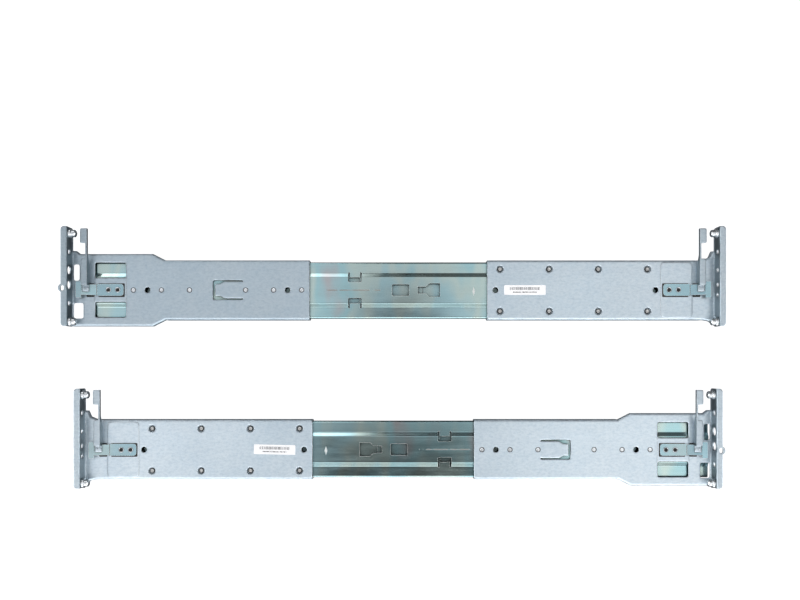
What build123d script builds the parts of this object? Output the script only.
"""A pair of sliding server rails, lying side by side with their rack side up.

Each rail is a three-member ball slide. Its outer member is riveted into a front bracket
and runs in a rear bracket that slides in and out, to suit the depth of the rack. Both
brackets end in a flange with pins for the square holes of a rack post, and in a sprung
latch with a release lever. The inner member is screwed or hooked to the server's side.

X runs along the rails, Y across them and Z up from the floor, on which the inner members'
server faces rest. Every piece is drawn in the frame of its own end: x grows from the inner
face of the post flange towards the middle of the rail, y from the rail's centreline.
"""

import os
from collections import namedtuple
from math import atan, degrees, radians, sqrt, tan

from build123d import *

os.makedirs("parts", exist_ok=True)

# Where the rails lie
rail_spacing = 139.5
left_span = 560.5
right_span = 546.5
right_rail_setback = 13.45

# Sheet and running gaps
sheet = 1.2
bend = 2.0
member_sheet = 1.2
middle_sheet = 1.4
member_bend = 1.6
cage_sheet = 0.6
cage_gap = 0.2
sleeve_gap = 0.15
edge_gap = 0.2
hole_gap = 0.05
ball_gap = 0.05
flex_gap = 0.3
hinge_lift = 0.05

# Sides of small round details, and of those that nothing shows, to keep the mesh light
round_sides = 12
hidden_sides = 8

# Ball slide, across
outer_half = 24.75
outer_lip = 2.0
raised_half = 11.6
ramp_width = 3.4
web_rise = 1.8
outer_wall = 8.65
middle_wall = 6.25
inner_wall = 5.95
outer_ball = 2.0
inner_ball = 1.6
outer_race_depth = 0.525
inner_race_depth = 0.45
outer_race_drop = 5.25
inner_race_drop = 2.25

# Ball slide, along
member_setback = 10.0
outer_length = 535.0
middle_length = 505.0
inner_shortfall = 3.0
cage_start = 170.0
cage_length = 180.0
balls_in_row = 3
ball_share = 0.93
cage_end_margin = 10.0
cage_windows = 4

# Cut-outs of the outer member, from the front flange
bump_x = 210.0
bump_length = 4.4
bump_width = 13.0
bump_height = 0.7
key_start = 239.5
key_body = 9.3
key_length = 19.4
key_half = 5.9
key_neck_half = 3.0
key_taper = 3.0
slot_start = 266.5
slot_length = 15.0
slot_half = 5.0
cutout_corner = 1.0
relief_corner = 1.7
notch_x = 314.0
notch_length = 12.0
notch_inner_half = 7.0
notch_overrun = 0.8
tongue_length = 4.4
tongue_width = 9.0

# Server side of the inner member
keyhole_first = 150.0
keyhole_pitch = 155.0
keyhole_count = 3
keyhole_round = 4.5
keyhole_slot = 2.5
keyhole_reach = 9.0
release_first = 70.0
release_length = 60.0
release_half = 6.0
release_sheet = 1.5
release_rivet = 2.0
release_rivet_head = 3.4
release_rivet_rise = 0.8
release_tail = 8.0
running_gap = 0.1

# Rubber stop at the rear of the outer member
bumper_length = 8.0
bumper_half = 18.0
bumper_rib_half = 10.8
bumper_gap = 0.4
bumper_chamfer = 1.5

# Sleeves of the two brackets
front_sleeve = 198.1
rear_sleeve = 206.8
sleeve_lip = 3.8
side_wall = 5.0
flare_run = 3.0
front_flare_length = 10.0
front_flare_top = 34.0
front_flare_bottom = 29.0
front_flare_waist = 4.0
front_flare_step = 1.6
rear_wide_half = 31.7
rear_wide_end = 69.8
rear_taper_end = 80.8
rear_shoulder_half = 34.4
rear_shoulder_length = 2.4
rear_shoulder_slope = 3.4

# Post flange, its lip and the holes of the rack standard
flange_top = 53.6
flange_bottom = 32.2
flange_height = 13.7
flange_corner = 3.0
flange_bend = 1.8
lip_reach = 5.0
post_hole_height = 7.3
lower_pin_drop = 28.1
post_pitch = 15.875
post_close_pitch = 12.7
front_screw_hole = 2.2
front_extra_hole = 2.0
front_extra_hole_y = -5.0
rear_cage_hole = 3.75
rear_screw_hole = 2.35
ear_radius = 3.6
ear_centre = 3.7
ear_y = 0.5
ear_slot_width = 3.0
ear_slot_length = 4.6

# Pins that enter the post
pin_shoulder = 4.3
pin_shoulder_length = 2.4
pin_nose = 3.2
pin_length = 6.0
pin_tail = 2.5

# Rivets that join the front bracket to the outer member
rivet_first = 58.0
rivet_pitch = 43.0
rivet_rows = 4
rivet_half = 18.4
cup_mouth = 3.3
cup_floor = 2.7
cup_wall_mouth = 3.9
cup_wall_foot = 2.8
rivet_head = 2.1
rivet_head_height = 1.2
rivet_shank = 1.5
front_hole = 2.5
front_holes_x = (51.1, 191.0)

# Studs, holes and sprung tab of the rear bracket
stud_first = 53.0
stud_pitch = 24.5
stud_places = (0, 1, 2, 4, 5, 6)
stud_radius = 1.8
stud_proud = 0.1
rear_hole = 2.5
rear_holes_x = (65.3, 187.8)
tab_tip = 124.9
tab_root = 149.1
tab_half = 7.2
tab_neck_half = 5.0
tab_neck_length = 4.0
tab_slot = 1.5
tab_tip_slot = 2.5
tab_lift = 1.0

# Pocket under the latch, and the windows beside it
pocket_start = 19.4
pocket_end = 46.7
pocket_half = 24.1
pocket_rise = 0.5
pocket_corner = 3.0
bridge_half = 10.2
window_corner = 1.5
top_window = (0.7, 6.0, 8.2, 22.4)
bottom_window = (0.7, 9.4, -24.9, -11.4)

# Latch strip
latch_sheet = 1.0
latch_hinge = 21.5
latch_half = 5.2
foot_end = 44.9
foot_corner = 2.4
foot_rivets_x = (31.7, 39.8)
foot_rivet_bore = 1.3
foot_rivet_shank = 1.75
foot_rivet_rim = 2.3
foot_rivet_rim_height = 0.4
arm_rise = 16.0
arm_half = 4.6
head_start = 4.4
head_end = 9.2
head_half = 7.15
head_corner = 0.8

# Release lever
lever_sheet = 1.2
lever_x = 15.6
lever_top = 9.0
lever_leg_width = 5.2
lever_leg_end = 26.3
lever_drop_y = 3.7
lever_foot_end = -1.6
lever_low_edge = 1.6
lever_high_edge = 6.0
lever_low_end = 20.0
lever_slope_end = 30.0
lever_tip = 52.4
flag_width = 5.75
flag_start = 39.7
flag_corner = 1.2
stake_radius = 1.1
stake_height = 0.35
stake_half_pitch = 1.3

# Depths below the sleeve's outer face, from the stack of sheets and gaps
raised_depth = sheet + sleeve_gap
band_depth = raised_depth + web_rise
outer_cage_depth = band_depth + member_sheet + cage_gap
middle_depth = outer_cage_depth + cage_sheet + cage_gap
inner_cage_depth = middle_depth + middle_sheet + cage_gap
inner_edge_depth = inner_cage_depth + cage_sheet + cage_gap
face_height = inner_edge_depth + inner_wall
outer_edge_depth = band_depth + outer_wall
sleeve_depth = outer_edge_depth + edge_gap + sheet
outer_ball_depth = band_depth + outer_race_drop
inner_ball_depth = inner_edge_depth + inner_race_drop

# Distances from the centreline, from the balls and their races, and the last member's length
outer_race = outer_ball + ball_gap
inner_race = inner_ball + ball_gap
outer_ball_half = outer_half - member_sheet - (outer_race - outer_race_depth)
middle_half = outer_ball_half - (outer_race - outer_race_depth)
inner_ball_half = middle_half - middle_sheet - (inner_race - inner_race_depth)
inner_half = inner_ball_half - (inner_race - inner_race_depth)
sleeve_half = outer_half + sleeve_gap + sheet
ramp_half = raised_half + ramp_width
inner_length = middle_length - inner_shortfall

# Slopes, heights and places shared by several pieces
cup_depth = band_depth - sheet
cup_height = band_depth - sheet / 2
cup_slope = degrees(atan((cup_mouth - cup_floor) / cup_depth))
cup_wall_slope = degrees(atan((cup_wall_mouth - cup_wall_foot) / cup_height))
band_under = face_height - band_depth - member_sheet
pocket_top = face_height + pocket_rise
foot_top = pocket_top + latch_sheet
pin_height = face_height + post_hole_height
flange_top_height = face_height + flange_height
post_steps = (post_pitch, post_pitch, post_close_pitch, post_pitch, post_pitch)
post_holes = [sum(post_steps[:step]) - lower_pin_drop for step in range(len(post_steps) + 1)]
ear_reach = ear_centre + ear_radius
half_length = (left_span + lip_reach + ear_reach) / 2
width = rail_spacing + flange_top + flange_bottom
left_y = width / 2 - flange_top
right_y = left_y - rail_spacing
right_front_x = -half_length + right_rail_setback + lip_reach

End = namedtuple("End", "x y facing")
ends = {
    "left_front": End(half_length - lip_reach, left_y, -1),
    "left_rear": End(ear_reach - half_length, left_y, 1),
    "right_front": End(right_front_x, right_y, 1),
    "right_rear": End(right_front_x + right_span, right_y, -1),
}


def both_sides(points):
    """A line that runs in from one side of the section and out again on the other."""
    return [(-across, height) for across, height in points] + points[::-1]


def bent_strip(points, thickness, radius, side):
    """Section of a strip bent along a line, with its thickness on one side of the line."""
    with BuildLine() as strip:
        FilletPolyline(*points, radius=radius)
        offset(amount=thickness, side=side)
    make_face(strip.edges())


def race_cuts(half, height, radius):
    """Round grooves in which the balls run, one on each side of the section."""
    with Locations((half, height), (-half, height)):
        Circle(radius, mode=Mode.SUBTRACT)


def window(box, corner):
    """Rectangle given by its limits along and across, each corner rounded by two flats."""
    start, end, low, high = box
    middle = corner * (1 - sqrt(0.5))
    points = []
    corners = ((start, low, 1, 1), (end, low, -1, 1), (end, high, -1, -1), (start, high, 1, -1))
    for x, y, along, across in corners:
        arc = [(0, corner), (middle, middle), (corner, 0)]
        if along != across:
            arc.reverse()
        points += [(x + along * dx, y + across * dy) for dx, dy in arc]
    with BuildLine() as outline:
        Polyline(*points, close=True)
    make_face(outline.edges())


def few_sided(places, radius, sides, bottom, top, mode=Mode.ADD):
    """Upright posts or holes with a few flats, for round details that are small or hidden."""
    with BuildSketch(Plane.XY.offset(bottom)) as outline:
        with Locations(*places):
            RegularPolygon(radius, sides, major_radius=mode == Mode.ADD)
    extrude(outline.sketch, amount=top - bottom, mode=mode)


def outer_member():
    """Zinc plated channel that carries the outer balls, with its web raised to the rack side."""
    with BuildPart() as member:
        with BuildSketch(Plane.YZ.offset(member_setback)):
            line = [
                (outer_half - outer_lip, face_height - outer_edge_depth),
                (outer_half, face_height - outer_edge_depth),
                (outer_half, face_height - band_depth),
                (ramp_half, face_height - band_depth),
                (raised_half, face_height - raised_depth),
            ]
            bent_strip(both_sides(line), member_sheet, member_bend, Side.RIGHT)
            race_cuts(outer_ball_half, face_height - outer_ball_depth, outer_race)
        extrude(amount=outer_length)
        with BuildSketch(Plane.XY.offset(face_height - raised_depth)):
            with BuildLine():
                half_bump = [
                    (0, bump_width / 2),
                    (bump_length / 2, bump_width / 4),
                    (bump_length / 2, -bump_width / 4),
                ]
                corners = half_bump + [(-x, -y) for x, y in half_bump]
                Polyline(*[(bump_x + x, y) for x, y in corners], close=True)
            make_face()
        extrude(amount=bump_height, taper=45)
        with BuildSketch(Plane.XY.offset(face_height)):
            with BuildLine():
                half_key = [
                    (key_start, key_half),
                    (key_start + key_body, key_half),
                    (key_start + key_body + key_taper, key_neck_half),
                    (key_start + key_length, key_neck_half),
                ]
                Polyline(*half_key, *[(x, -y) for x, y in half_key[::-1]], close=True)
            make_face()
            window((slot_start, slot_start + slot_length, -slot_half, slot_half), cutout_corner)
            for side in (1, -1):
                limits = sorted((side * notch_inner_half, side * (ramp_half + notch_overrun)))
                start = notch_x - notch_length / 2
                window((start, start + notch_length, *limits), cutout_corner)
            for x in rear_holes_x:
                reach = (right_span - x - rear_hole, left_span - x + rear_hole)
                window((*reach, -rear_hole, rear_hole), relief_corner)
        extrude(amount=-outer_edge_depth, mode=Mode.SUBTRACT)
        front_holes = [(x, 0) for x in front_holes_x]
        few_sided(front_holes, front_hole, round_sides, band_under, face_height, Mode.SUBTRACT)
        few_sided(cup_places(), rivet_shank + hole_gap, hidden_sides, band_under, face_height, Mode.SUBTRACT)
        with BuildSketch(Plane.XY.offset(face_height - band_depth)):
            for side in (1, -1):
                with Locations((notch_x, side * (ramp_half + notch_overrun - tongue_length / 2))):
                    Rectangle(tongue_width, tongue_length)
        extrude(amount=-member_sheet)
    return member.part


def middle_member():
    """Channel between the two sets of balls, with a race on each face of its walls."""
    low = face_height - middle_depth - middle_wall
    with BuildPart() as member:
        with BuildSketch(Plane.YZ.offset(member_setback)):
            line = [(middle_half, low), (middle_half, face_height - middle_depth)]
            bent_strip(both_sides(line), middle_sheet, member_bend, Side.RIGHT)
            race_cuts(outer_ball_half, face_height - outer_ball_depth, outer_race)
            race_cuts(inner_ball_half, face_height - inner_ball_depth, inner_race)
        extrude(amount=middle_length)
    return member.part


def inner_member():
    """Channel that goes on the server, with keyholes for the studs in the server's side."""
    with BuildPart() as member:
        with BuildSketch(Plane.YZ.offset(member_setback)):
            line = [(inner_half, face_height - inner_edge_depth), (inner_half, 0)]
            bent_strip(both_sides(line), member_sheet, member_bend, Side.LEFT)
            race_cuts(inner_ball_half, face_height - inner_ball_depth, inner_race)
        extrude(amount=inner_length)
        with BuildSketch(Plane.XY):
            for x in keyhole_places():
                with Locations((x, 0)):
                    RegularPolygon(keyhole_round, round_sides, major_radius=False)
                window((x, x + keyhole_reach + keyhole_slot, -keyhole_slot, keyhole_slot), cutout_corner)
        extrude(amount=member_sheet, mode=Mode.SUBTRACT)
        hole = release_rivet + hole_gap
        few_sided([(release_first, 0)], hole, hidden_sides, 0, member_sheet, Mode.SUBTRACT)
    return member.part


def keyhole_places():
    """Round ends of the keyholes, along the inner member."""
    return [keyhole_first + keyhole_pitch * number for number in range(keyhole_count)]


def cup_places():
    """Places of the pressed cups and their rivets, in rows along the front bracket."""
    rows = [rivet_first + rivet_pitch * number for number in range(rivet_rows)]
    return [(x, side * rivet_half) for x in rows for side in (1, -1)]


def ball_places(half, depth):
    """Centres of the balls of one cage, in a row on each side."""
    pitch = (cage_length - 2 * cage_end_margin) / (balls_in_row - 1)
    first = cage_start + cage_end_margin
    rows = [first + pitch * number for number in range(balls_in_row)]
    return [(x, side * half, face_height - depth) for x in rows for side in (1, -1)]


def ball_cage(half, web_depth, ball_depth, ball):
    """Thin channel that keeps the balls apart, with a notch round each and a lightened web."""
    outside = half + cage_sheet / 2
    low = face_height - ball_depth - ball
    with BuildPart() as cage:
        with BuildSketch(Plane.YZ.offset(cage_start)):
            line = [(outside, low), (outside, face_height - web_depth)]
            bent_strip(both_sides(line), cage_sheet, cage_sheet * 2, Side.RIGHT)
        extrude(amount=cage_length)
        notch = 2 * (ball + hole_gap)
        with Locations(*ball_places(half, ball_depth)):
            Box(notch, cage_sheet * 2, notch, mode=Mode.SUBTRACT)
        with BuildSketch(Plane.XY.offset(face_height - web_depth)):
            with Locations((cage_start + cage_length / 2, 0)):
                with GridLocations(cage_length / cage_windows, half, cage_windows, 1):
                    Rectangle(cage_length / cage_windows - cage_end_margin, half)
        extrude(amount=-cage_sheet, mode=Mode.SUBTRACT)
    return cage.part


def balls(half, depth, ball):
    """Steel balls of one cage, each left with few faces, where three eight-sided bars cross."""
    with BuildPart() as ball_form:
        for plane in (Plane.XY, Plane.XZ, Plane.YZ):
            with BuildSketch(plane):
                RegularPolygon(ball * ball_share, hidden_sides, rotation=180 / hidden_sides)
            extrude(amount=ball, both=True, mode=Mode.ADD if plane == Plane.XY else Mode.INTERSECT)
    with BuildPart() as row:
        with Locations(*ball_places(half, depth)):
            add(ball_form.part)
    return row.part


def inner_latch():
    """Flat latch in the server member's channel, which frees the server from the slide."""
    low = member_sheet + running_gap
    with BuildPart() as latch:
        with BuildSketch(Plane.XY.offset(low)):
            ends_x = (release_first - release_tail, release_first + release_length)
            window((*ends_x, -release_half, release_half), release_half - cutout_corner)
        extrude(amount=release_sheet)
        with BuildSketch(Plane.XY.offset(low)):
            slot_ends = (release_first + release_length / 4, release_first + release_length * 3 / 4)
            window((*slot_ends, -release_half / 2, release_half / 2), cutout_corner)
        extrude(amount=release_sheet, mode=Mode.SUBTRACT)
        hole = release_rivet + running_gap
        few_sided([(release_first, 0)], hole, hidden_sides, low, low + release_sheet, Mode.SUBTRACT)
    return latch.part


def inner_latch_rivet():
    """Shouldered rivet on which the latch turns, flush with the server face."""
    head_low = member_sheet + 2 * running_gap + release_sheet
    place = [(release_first, 0)]
    with BuildPart() as rivet:
        few_sided(place, release_rivet, hidden_sides, 0, head_low)
        few_sided(place, release_rivet_head, round_sides, head_low, head_low + release_rivet_rise)
    return rivet.part


def rear_bumper():
    """Rubber stop that the middle member meets at home, seated in the outer member."""
    start = member_setback + middle_length + bumper_gap
    low = face_height - middle_depth - middle_wall
    seat_low = face_height - raised_depth - member_sheet
    with BuildPart() as bumper:
        with BuildSketch(Plane.YZ.offset(start)):
            with BuildLine():
                line = [
                    (bumper_half, low),
                    (bumper_half, band_under),
                    (bumper_rib_half, band_under),
                    (bumper_rib_half, seat_low),
                ]
                Polyline(*both_sides(line), close=True)
            make_face()
        extrude(amount=bumper_length)
        chamfer(bumper.edges().filter_by(Axis.Y).group_by(Axis.Z)[0], bumper_chamfer)
    return bumper.part


def sleeve_shell(start, end):
    """Narrow length of a bracket, whose side walls turn in under the outer member."""
    with BuildPart() as shell:
        with BuildSketch(Plane.YZ.offset(start)):
            low = face_height - sleeve_depth
            line = [(sleeve_half - sleeve_lip, low), (sleeve_half, low), (sleeve_half, face_height)]
            bent_strip(both_sides(line), sheet, bend, Side.RIGHT)
        extrude(amount=end - start)
    return shell.part


def flared_shell(top, bottom):
    """Wider web next to the flange, with shallow side walls that follow its two edges."""
    with BuildPart() as shell:
        with BuildSketch(Plane.XY.offset(face_height)):
            with BuildLine():
                Polyline(*top, *bottom[::-1], close=True)
            make_face()
        extrude(amount=-side_wall)
        rim = shell.edges().group_by(Axis.Z)[-1]
        fillet(rim - rim.filter_by(Axis.Y), bend)
        with BuildSketch(Plane.XY.offset(face_height - sheet)):
            with BuildLine():
                upper = [(x, y - sheet) for x, y in top]
                lower = [(x, y + sheet) for x, y in bottom]
                Polyline(*upper, *lower[::-1], close=True)
            make_face()
        extrude(amount=-side_wall, mode=Mode.SUBTRACT)
    return shell.part


def post_flange():
    """Flange that lies on the rack post, with a lip turned away from the rail."""
    with BuildPart() as flange:
        with BuildSketch(Plane.XZ.offset(-flange_top)):
            line = [(0, face_height - sheet), (0, flange_top_height), (-lip_reach, flange_top_height)]
            bent_strip(line, sheet, flange_bend, Side.LEFT)
        extrude(amount=flange_top + flange_bottom)
        fillet(flange.edges().filter_by(Axis.Z).group_by(Axis.X)[0], flange_corner)
        fillet(flange.edges().filter_by(Axis.X).group_by(Axis.Z)[0], flange_corner)
    return flange.part


def flange_holes(places, radius, sides=None):
    """Holes through the flange, square to the post: true circles, or with few sides if given."""
    with BuildSketch(Plane.YZ) as outline:
        with Locations(*[(y, pin_height) for y in places]):
            if sides:
                RegularPolygon(radius, sides, major_radius=False)
            else:
                Circle(radius)
    extrude(outline.sketch, amount=-sheet, mode=Mode.SUBTRACT)


def pocket():
    """Patch of web pressed outwards by half a sheet to seat the latch foot."""
    with BuildSketch(Plane.XY.offset(face_height)) as raised:
        window((pocket_start, pocket_end, -pocket_half, pocket_half), pocket_corner)
    extrude(raised.sketch, amount=pocket_rise)
    with BuildSketch(Plane.XY.offset(face_height - sheet)) as hollow:
        half = pocket_half - pocket_rise
        window((pocket_start + pocket_rise, pocket_end - pocket_rise, -half, half), pocket_corner)
    extrude(hollow.sketch, amount=pocket_rise, mode=Mode.SUBTRACT)


def web_holes(places, radius, sides=round_sides):
    """Holes through the web, also where it is pressed out into the pocket."""
    few_sided([(x, 0) for x in places], radius, sides, face_height - sheet, pocket_top, Mode.SUBTRACT)


def front_bracket():
    """Front bracket, riveted through pressed cups to the bands of the outer member."""
    top = [
        (-sheet / 2, front_flare_top),
        (front_flare_step, front_flare_top),
        (front_flare_waist, (front_flare_top + 2 * sleeve_half) / 3),
        (front_flare_length, sleeve_half),
        (front_flare_length + flare_run, sleeve_half),
    ]
    bottom = [
        (-sheet / 2, -front_flare_bottom),
        (front_flare_step, -front_flare_bottom),
        (front_flare_waist, -(front_flare_bottom + 2 * sleeve_half) / 3),
        (front_flare_length, -sleeve_half),
        (front_flare_length + flare_run, -sleeve_half),
    ]
    with BuildPart() as bracket:
        add(sleeve_shell(front_flare_length, front_sleeve))
        add(flared_shell(top, bottom))
        add(post_flange())
        pocket()
        with BuildSketch(Plane.XY.offset(face_height - sheet / 2)):
            with Locations(*cup_places()):
                RegularPolygon(cup_wall_mouth, hidden_sides)
        extrude(amount=-cup_height, taper=cup_wall_slope)
        with BuildSketch(Plane.XY.offset(face_height)):
            with Locations(*cup_places()):
                RegularPolygon(cup_mouth, round_sides)
        extrude(amount=-cup_depth, taper=cup_slope, mode=Mode.SUBTRACT)
        cup_under = face_height - band_depth
        hole = rivet_shank + hole_gap
        few_sided(cup_places(), hole, hidden_sides, cup_under, cup_under + sheet, Mode.SUBTRACT)
        web_holes(front_holes_x, front_hole)
        web_holes(foot_rivets_x, foot_rivet_shank + hole_gap, hidden_sides)
        flange_holes((post_holes[0], post_holes[-1]), pin_tail + hole_gap, hidden_sides)
        flange_holes(post_holes[2:4], front_screw_hole)
        flange_holes((post_holes[4],), front_screw_hole, round_sides)
        flange_holes((front_extra_hole_y,), front_extra_hole, round_sides)
    return bracket.part


def front_bracket_rivets():
    """Rivets whose heads sit in the cups and whose shanks end flush under the bands."""
    head_low = face_height - cup_depth
    with BuildPart() as rivets:
        few_sided(cup_places(), rivet_shank, hidden_sides, band_under, head_low)
        few_sided(cup_places(), rivet_head, hidden_sides, head_low, head_low + rivet_head_height)
    return rivets.part


def rear_bracket():
    """Rear bracket, which slides along the outer member and widens towards the flange."""
    top = [
        (-sheet / 2, rear_shoulder_half),
        (rear_shoulder_length, rear_shoulder_half),
        (rear_shoulder_length + rear_shoulder_slope, rear_wide_half),
        (rear_wide_end, rear_wide_half),
        (rear_taper_end, sleeve_half),
        (rear_taper_end + flare_run, sleeve_half),
    ]
    bottom = [
        (-sheet / 2, -rear_wide_half),
        (rear_wide_end, -rear_wide_half),
        (rear_taper_end, -sleeve_half),
        (rear_taper_end + flare_run, -sleeve_half),
    ]
    with BuildPart() as bracket:
        add(sleeve_shell(rear_taper_end, rear_sleeve))
        add(flared_shell(top, bottom))
        add(post_flange())
        with BuildSketch(Plane.XY.offset(flange_top_height)):
            with Locations((-ear_centre, ear_y)):
                Circle(ear_radius)
        extrude(amount=-sheet)
        with BuildSketch(Plane.XY.offset(flange_top_height)):
            with Locations((-ear_centre, ear_y)):
                SlotOverall(ear_slot_length, ear_slot_width, rotation=90)
        extrude(amount=-sheet, mode=Mode.SUBTRACT)
        pocket()
        with BuildSketch(Plane.XY.offset(pocket_top)):
            window((pocket_start, pocket_end, bridge_half, pocket_half), window_corner)
            window((pocket_start, pocket_end, -pocket_half, -bridge_half), window_corner)
            window(top_window, window_corner)
            window(bottom_window, window_corner)
            tab_side = tab_half + tab_slot
            window((tab_tip - tab_tip_slot, tab_root, -tab_side, tab_side), window_corner)
        extrude(amount=-sheet - 2 * pocket_rise, mode=Mode.SUBTRACT)
        with BuildSketch(Plane.XZ):
            with BuildLine():
                Polyline(
                    (tab_root, face_height),
                    (tab_tip, face_height + tab_lift),
                    (tab_tip, face_height + tab_lift - sheet),
                    (tab_root, face_height - sheet),
                    close=True,
                )
            make_face()
        extrude(amount=tab_half, both=True)
        with BuildSketch(Plane.XY.offset(face_height + tab_lift)):
            for side in (1, -1):
                with BuildLine():
                    Polyline(
                        (tab_tip, side * tab_half),
                        (tab_tip, side * tab_neck_half),
                        (tab_tip + tab_neck_length, side * tab_neck_half),
                        (tab_tip + 2 * tab_neck_length, side * tab_half),
                        close=True,
                    )
                make_face()
        extrude(amount=-sheet - 2 * tab_lift, mode=Mode.SUBTRACT)
        web_holes(stud_xs(), stud_radius + hole_gap)
        web_holes(rear_holes_x, rear_hole)
        web_holes(foot_rivets_x, foot_rivet_shank + hole_gap, hidden_sides)
        flange_holes((post_holes[0], post_holes[-1]), pin_tail + hole_gap, hidden_sides)
        flange_holes(post_holes[2:4], rear_cage_hole)
        flange_holes((post_holes[1], post_holes[4]), rear_screw_hole, round_sides)
    return bracket.part


def stud_xs():
    """Places of the flush studs along the rear bracket."""
    return [stud_first + stud_pitch * place for place in stud_places]


def rear_glide_studs():
    """Flush studs whose tails keep the sleeve off the raised web of the outer member."""
    with BuildPart() as studs:
        places = [(x, 0) for x in stud_xs()]
        few_sided(places, stud_radius, round_sides, face_height - sheet - stud_proud, face_height)
    return studs.part


def post_pins():
    """Two shouldered pins, staked in the flange, that enter the square holes of the post."""
    places = [(y, pin_height) for y in (post_holes[0], post_holes[-1])]
    with BuildPart() as pins:
        with BuildSketch(Plane.YZ):
            with Locations(*places):
                RegularPolygon(pin_tail, hidden_sides)
        extrude(amount=-sheet)
        with BuildSketch(Plane.YZ):
            with Locations(*places):
                RegularPolygon(pin_shoulder, round_sides)
        extrude(amount=pin_shoulder_length)
        with BuildSketch(Plane.YZ.offset(pin_shoulder_length)):
            with Locations(*places):
                Circle(pin_nose)
        extrude(amount=pin_length - pin_shoulder_length)
    return pins.part


def latch_foot():
    """Fixed end of the latch strip, flat on the pocket with a round end."""
    with BuildPart() as foot:
        with BuildSketch(Plane.XY.offset(pocket_top)):
            start = latch_hinge + flex_gap / 2
            window((start, foot_end, -latch_half, latch_half), foot_corner)
            window((start, foot_end - foot_corner, -latch_half, latch_half), flex_gap)
        extrude(amount=latch_sheet)
        places = [(x, 0) for x in foot_rivets_x]
        few_sided(places, foot_rivet_shank + hole_gap, hidden_sides, pocket_top, foot_top, Mode.SUBTRACT)
    return foot.part


def latch_foot_rivets():
    """Two tubular rivets, rolled over on the foot and under the pocket."""
    low = face_height - sheet
    middle = low + pocket_rise
    high = foot_top + foot_rivet_rim_height
    places = [(x, 0) for x in foot_rivets_x]
    with BuildPart() as rivets:
        few_sided(places, foot_rivet_rim, hidden_sides, low, middle)
        few_sided(places, foot_rivet_shank, hidden_sides, middle, foot_top)
        few_sided(places, foot_rivet_rim, hidden_sides, foot_top, high)
        few_sided(places, foot_rivet_bore, hidden_sides, low, high, Mode.SUBTRACT)
    return rivets.part


def arm_top(x):
    """Height of the latch arm's upper face, which rises from the hinge to the head."""
    return foot_top + hinge_lift + (latch_hinge - flex_gap / 2 - x) * tan(radians(arm_rise))


def latch_arm():
    """Sprung end of the latch strip, a rising arm with a level cross-shaped head."""
    start = latch_hinge - flex_gap / 2
    with BuildPart() as arm:
        with BuildSketch(Plane.XZ):
            with BuildLine():
                line = [
                    (start, arm_top(start)),
                    (head_end, arm_top(head_end)),
                    (head_start, arm_top(head_end)),
                ]
                Polyline(*line, *[(x, z - latch_sheet) for x, z in line[::-1]], close=True)
            make_face()
        extrude(amount=head_half, both=True)
        with BuildSketch(Plane.XY.offset(arm_top(head_start))) as outline:
            with BuildLine():
                half_outline = [
                    (start, latch_half),
                    (start - latch_half + arm_half, arm_half),
                    (head_end, arm_half),
                    (head_end, head_half),
                    (head_start, head_half),
                ]
                Polyline(*half_outline, *[(x, -y) for x, y in half_outline[::-1]], close=True)
            make_face()
            fillet(outline.vertices().group_by(Axis.X)[0], head_corner)
        extrude(amount=-arm_top(head_start), mode=Mode.INTERSECT)
    return arm.part


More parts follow.
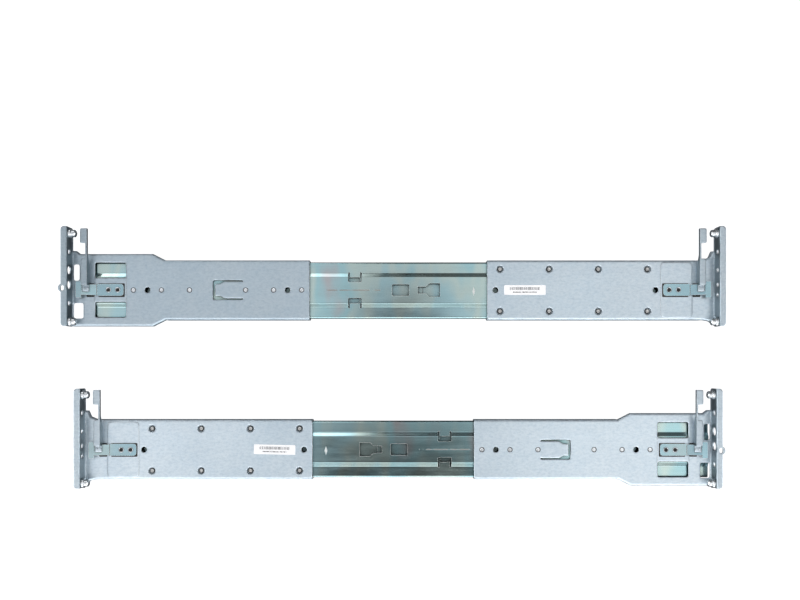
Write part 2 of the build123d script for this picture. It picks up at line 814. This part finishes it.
def release_lever():
    """Bent lever staked to the arm, with an upright plate and a flag for the thumb."""
    inner_x = lever_x - lever_sheet
    leg_x = lever_x - lever_leg_width
    top = face_height + lever_top
    with BuildPart() as lever:
        with BuildSketch(Plane.YZ.offset(lever_x)):
            with BuildLine():
                Polyline(
                    (lever_drop_y, top),
                    (lever_tip, top),
                    (lever_tip, face_height + lever_high_edge),
                    (lever_slope_end, face_height + lever_high_edge),
                    (lever_low_end, face_height + lever_low_edge),
                    (lever_drop_y + lever_sheet + flex_gap, face_height + lever_low_edge),
                    (lever_drop_y + lever_sheet + flex_gap, arm_top(inner_x) + lever_sheet),
                    (lever_drop_y, arm_top(inner_x) + lever_sheet),
                    close=True,
                )
            make_face()
        extrude(amount=-lever_sheet)
        with BuildSketch(Plane.XY.offset(top)):
            window((leg_x, lever_x, lever_drop_y, lever_leg_end), flag_corner)
            window((lever_x - flag_width, lever_x, flag_start, lever_tip), flag_corner)
        extrude(amount=-lever_sheet)
        with BuildSketch(Plane.XZ.offset(-lever_drop_y - lever_sheet)):
            with BuildLine():
                Polyline(
                    (leg_x, top - lever_sheet),
                    (lever_x, top - lever_sheet),
                    (lever_x, arm_top(lever_x)),
                    (leg_x, arm_top(leg_x)),
                    close=True,
                )
            make_face()
        extrude(amount=lever_sheet)
        with BuildSketch(Plane.XZ.offset(-lever_drop_y)):
            with BuildLine():
                seat = [(leg_x, arm_top(leg_x)), (lever_x, arm_top(lever_x))]
                Polyline(*seat, *[(x, z + lever_sheet) for x, z in seat[::-1]], close=True)
            make_face()
        extrude(amount=lever_drop_y - lever_foot_end)
        middle = (leg_x + lever_x) / 2
        seat_y = (lever_drop_y + lever_foot_end) / 2
        for step in (-1, 1):
            x = middle + step * stake_half_pitch
            seat_top = arm_top(x) + lever_sheet
            low = seat_top - stake_height
            few_sided([(x, seat_y)], stake_radius, hidden_sides, low, low + 2 * stake_height)
    return lever.part


def write_node(piece, end, name):
    """Stand a piece at its end of its rail, name it and write it."""
    with BuildPart() as node:
        with Locations((end.x, end.y, 0)):
            add(piece if end.facing > 0 else mirror(piece, about=Plane.YZ, mode=Mode.PRIVATE))
    node.part.label = name
    export_step(node.part, f"parts/{name}.step")


end_pieces = {
    "post_pins": post_pins(),
    "latch_foot": latch_foot(),
    "latch_foot_rivets": latch_foot_rivets(),
    "latch_arm": latch_arm(),
    "release_lever": release_lever(),
}
rear_pieces = {
    "rear_bracket": rear_bracket(),
    "rear_glide_studs": rear_glide_studs(),
}
front_pieces = {
    "front_bracket": front_bracket(),
    "front_bracket_rivets": front_bracket_rivets(),
    "outer_member": outer_member(),
    "outer_ball_cage": ball_cage(outer_ball_half, outer_cage_depth, outer_ball_depth, outer_ball),
    "outer_balls": balls(outer_ball_half, outer_ball_depth, outer_ball),
    "middle_member": middle_member(),
    "inner_ball_cage": ball_cage(inner_ball_half, inner_cage_depth, inner_ball_depth, inner_ball),
    "inner_balls": balls(inner_ball_half, inner_ball_depth, inner_ball),
    "inner_member": inner_member(),
    "inner_latch": inner_latch(),
    "inner_latch_rivet": inner_latch_rivet(),
    "rear_bumper": rear_bumper(),
}

for rail in ("left", "right"):
    for place in ("front", "rear"):
        for piece_name, piece in end_pieces.items():
            write_node(piece, ends[f"{rail}_{place}"], f"{rail}_{place}_{piece_name}")
    for piece_name, piece in rear_pieces.items():
        write_node(piece, ends[f"{rail}_rear"], f"{rail}_{piece_name}")
    for piece_name, piece in front_pieces.items():
        write_node(piece, ends[f"{rail}_front"], f"{rail}_{piece_name}")
